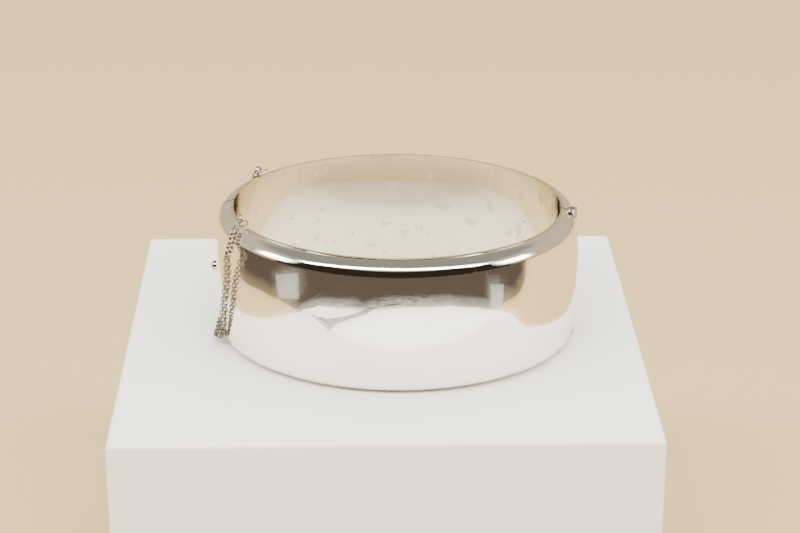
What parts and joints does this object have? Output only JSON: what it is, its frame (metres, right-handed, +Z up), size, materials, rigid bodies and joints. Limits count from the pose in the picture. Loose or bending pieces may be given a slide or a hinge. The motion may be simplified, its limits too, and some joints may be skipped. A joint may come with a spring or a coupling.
{
  "type": "hinged bangle bracelet",
  "caption": "Wide oval hinged bangle of hollow domed halves, with a tube hinge, a box-and-tongue snap clasp with a thumb press, and a doubled safety chain.",
  "frame": {"origin": "middle of the closed bangle's box, in the plane that its lower rim stands on", "axes": "+Z up along the wrist opening, +X towards the hinge, -X towards the clasp, -Y towards the front half"},
  "size_m": [0.0679, 0.0602, 0.027],
  "materials": {
    "polished_silver": "mirror-polished sterling silver with fine wear scratches",
    "lining_silver": "polished sterling silver, slightly dulled by wear",
    "end_plate_silver": "satin sterling silver",
    "hinge_tube_silver": "polished silver tube, tarnished in the recesses",
    "pin_wire": "drawn silver wire",
    "spring_leaf_silver": "satin hard-rolled silver",
    "ring_wire": "polished silver wire",
    "chain_silver": "bright fine silver chain, slightly tarnished between the links"
  },
  "bodies": {
    "front_half": {"front_outer_shell": "polished_silver", "front_inner_lining": "lining_silver", "front_hinge_plate": "end_plate_silver", "front_clasp_plate": "end_plate_silver", "front_catch_box": "end_plate_silver", "front_hinge_knuckles": "hinge_tube_silver", "hinge_pin": "pin_wire", "front_chain_eye": "ring_wire"},
    "back_half": {"back_outer_shell": "polished_silver", "back_inner_lining": "lining_silver", "back_hinge_plate": "end_plate_silver", "back_clasp_plate": "end_plate_silver", "back_hinge_knuckles": "hinge_tube_silver", "back_chain_eye": "ring_wire", "tongue_base_leaf": "spring_leaf_silver"},
    "spring_tongue": {"tongue_spring_leaf": "spring_leaf_silver", "thumb_press": "polished_silver"},
    "front_jump_ring": {"front_jump_ring": "ring_wire"},
    "back_jump_ring": {"back_jump_ring": "ring_wire"},
    "front_chain_1": {"front_chain_1": "chain_silver"},
    "front_chain_2": {"front_chain_2": "chain_silver"},
    "front_chain_3": {"front_chain_3": "chain_silver"},
    "front_chain_4": {"front_chain_4": "chain_silver"},
    "front_chain_5": {"front_chain_5": "chain_silver"},
    "front_chain_6": {"front_chain_6": "chain_silver"},
    "front_chain_7": {"front_chain_7": "chain_silver"},
    "back_chain_1": {"back_chain_1": "chain_silver"},
    "back_chain_2": {"back_chain_2": "chain_silver"},
    "back_chain_3": {"back_chain_3": "chain_silver"},
    "back_chain_4": {"back_chain_4": "chain_silver"},
    "back_chain_5": {"back_chain_5": "chain_silver"},
    "back_chain_6": {"back_chain_6": "chain_silver"},
    "back_chain_7": {"back_chain_7": "chain_silver"}
  },
  "joints": [
    {"name": "main_hinge", "type": "hinge", "parent": "front_half", "child": "back_half", "pos_m": [0.03205, 0, 0.0125], "axis": [0, 0, -1], "range_deg": [0, 44]},
    {"name": "press_fold", "type": "hinge", "parent": "back_half", "child": "spring_tongue", "pos_m": [-0.03121, -0.0065, 0.0125], "axis": [0, 0, -1], "range_deg": [0, 5.3], "stiffness_Nm_per_rad": 0.14},
    {"name": "front_ring_swing", "type": "hinge", "parent": "front_half", "child": "front_jump_ring", "pos_m": [-0.02679, -0.01336, 0.02595], "axis": [-0.154, 0.5155, -0.843], "range_deg": [0, 74.2]},
    {"name": "front_chain_1_bend", "type": "hinge", "parent": "front_jump_ring", "child": "front_chain_1", "pos_m": [-0.02786, -0.01462, 0.02484], "axis": [0.7598, 0.6027, -0.2438], "range_deg": [0, 92.5]},
    {"name": "front_chain_2_bend", "type": "hinge", "parent": "front_chain_1", "child": "front_chain_2", "pos_m": [-0.02889, -0.01801, 0.0209], "axis": [0.0048, 0.2095, 0.9778], "range_deg": [0, 134.6]},
    {"name": "front_chain_3_bend", "type": "hinge", "parent": "front_chain_2", "child": "front_chain_3", "pos_m": [-0.0293, -0.01649, 0.0159], "axis": [-0.1584, 0.2227, -0.9619], "range_deg": [0, 70.8]},
    {"name": "front_chain_4_bend", "type": "hinge", "parent": "front_chain_3", "child": "front_chain_4", "pos_m": [-0.03008, -0.01533, 0.01084], "axis": [-0.1787, 0.1938, -0.9646], "range_deg": [0, 64.4]},
    {"name": "front_chain_5_bend", "type": "hinge", "parent": "front_chain_4", "child": "front_chain_5", "pos_m": [-0.03077, -0.01335, 0.00603], "axis": [-0.4432, 0.3212, -0.8369], "range_deg": [0, 54.3]},
    {"name": "front_chain_6_bend", "type": "hinge", "parent": "front_chain_5", "child": "front_chain_6", "pos_m": [-0.03222, -0.01023, 0.00207], "axis": [-0.9174, 0.394, -0.056], "range_deg": [0, 41.5]},
    {"name": "front_chain_7_bend", "type": "hinge", "parent": "front_chain_6", "child": "front_chain_7", "pos_m": [-0.03283, -0.00524, 0.00053], "axis": [-0.9302, 0.2949, 0.2184], "range_deg": [0, 20.3]},
    {"name": "back_ring_swing", "type": "hinge", "parent": "back_half", "child": "back_jump_ring", "pos_m": [-0.02679, 0.01336, 0.02595], "axis": [0.154, 0.5155, 0.843], "range_deg": [0, 74.2]},
    {"name": "back_chain_1_bend", "type": "hinge", "parent": "back_jump_ring", "child": "back_chain_1", "pos_m": [-0.02786, 0.01462, 0.02484], "axis": [-0.7598, 0.6027, 0.2438], "range_deg": [0, 92.5]},
    {"name": "back_chain_2_bend", "type": "hinge", "parent": "back_chain_1", "child": "back_chain_2", "pos_m": [-0.02889, 0.01801, 0.0209], "axis": [-0.0048, 0.2095, -0.9778], "range_deg": [0, 134.6]},
    {"name": "back_chain_3_bend", "type": "hinge", "parent": "back_chain_2", "child": "back_chain_3", "pos_m": [-0.0293, 0.01649, 0.0159], "axis": [0.1584, 0.2227, 0.9619], "range_deg": [0, 70.8]},
    {"name": "back_chain_4_bend", "type": "hinge", "parent": "back_chain_3", "child": "back_chain_4", "pos_m": [-0.03008, 0.01533, 0.01084], "axis": [0.1787, 0.1938, 0.9646], "range_deg": [0, 64.4]},
    {"name": "back_chain_5_bend", "type": "hinge", "parent": "back_chain_4", "child": "back_chain_5", "pos_m": [-0.03077, 0.01335, 0.00603], "axis": [0.4432, 0.3212, 0.8369], "range_deg": [0, 54.3]},
    {"name": "back_chain_6_bend", "type": "hinge", "parent": "back_chain_5", "child": "back_chain_6", "pos_m": [-0.03222, 0.01023, 0.00207], "axis": [0.9174, 0.394, 0.056], "range_deg": [0, 41.5]},
    {"name": "back_chain_7_bend", "type": "hinge", "parent": "back_chain_6", "child": "back_chain_7", "pos_m": [-0.03283, 0.00524, 0.00053], "axis": [0.9302, 0.2949, -0.2184], "range_deg": [0, 20.3]}
  ],
  "couplings": [
    {"joint": "front_ring_swing", "follows": "main_hinge", "ratio": 1.6857},
    {"joint": "front_chain_1_bend", "follows": "main_hinge", "ratio": 2.1005},
    {"joint": "front_chain_2_bend", "follows": "main_hinge", "ratio": 3.0579},
    {"joint": "front_chain_3_bend", "follows": "main_hinge", "ratio": 1.6086},
    {"joint": "front_chain_4_bend", "follows": "main_hinge", "ratio": 1.4634},
    {"joint": "front_chain_5_bend", "follows": "main_hinge", "ratio": 1.2328},
    {"joint": "front_chain_6_bend", "follows": "main_hinge", "ratio": 0.9418},
    {"joint": "front_chain_7_bend", "follows": "main_hinge", "ratio": 0.4601},
    {"joint": "back_ring_swing", "follows": "main_hinge", "ratio": 1.6857},
    {"joint": "back_chain_1_bend", "follows": "main_hinge", "ratio": 2.1005},
    {"joint": "back_chain_2_bend", "follows": "main_hinge", "ratio": 3.0579},
    {"joint": "back_chain_3_bend", "follows": "main_hinge", "ratio": 1.6086},
    {"joint": "back_chain_4_bend", "follows": "main_hinge", "ratio": 1.4634},
    {"joint": "back_chain_5_bend", "follows": "main_hinge", "ratio": 1.2328},
    {"joint": "back_chain_6_bend", "follows": "main_hinge", "ratio": 0.9418},
    {"joint": "back_chain_7_bend", "follows": "main_hinge", "ratio": 0.4601}
  ]
}
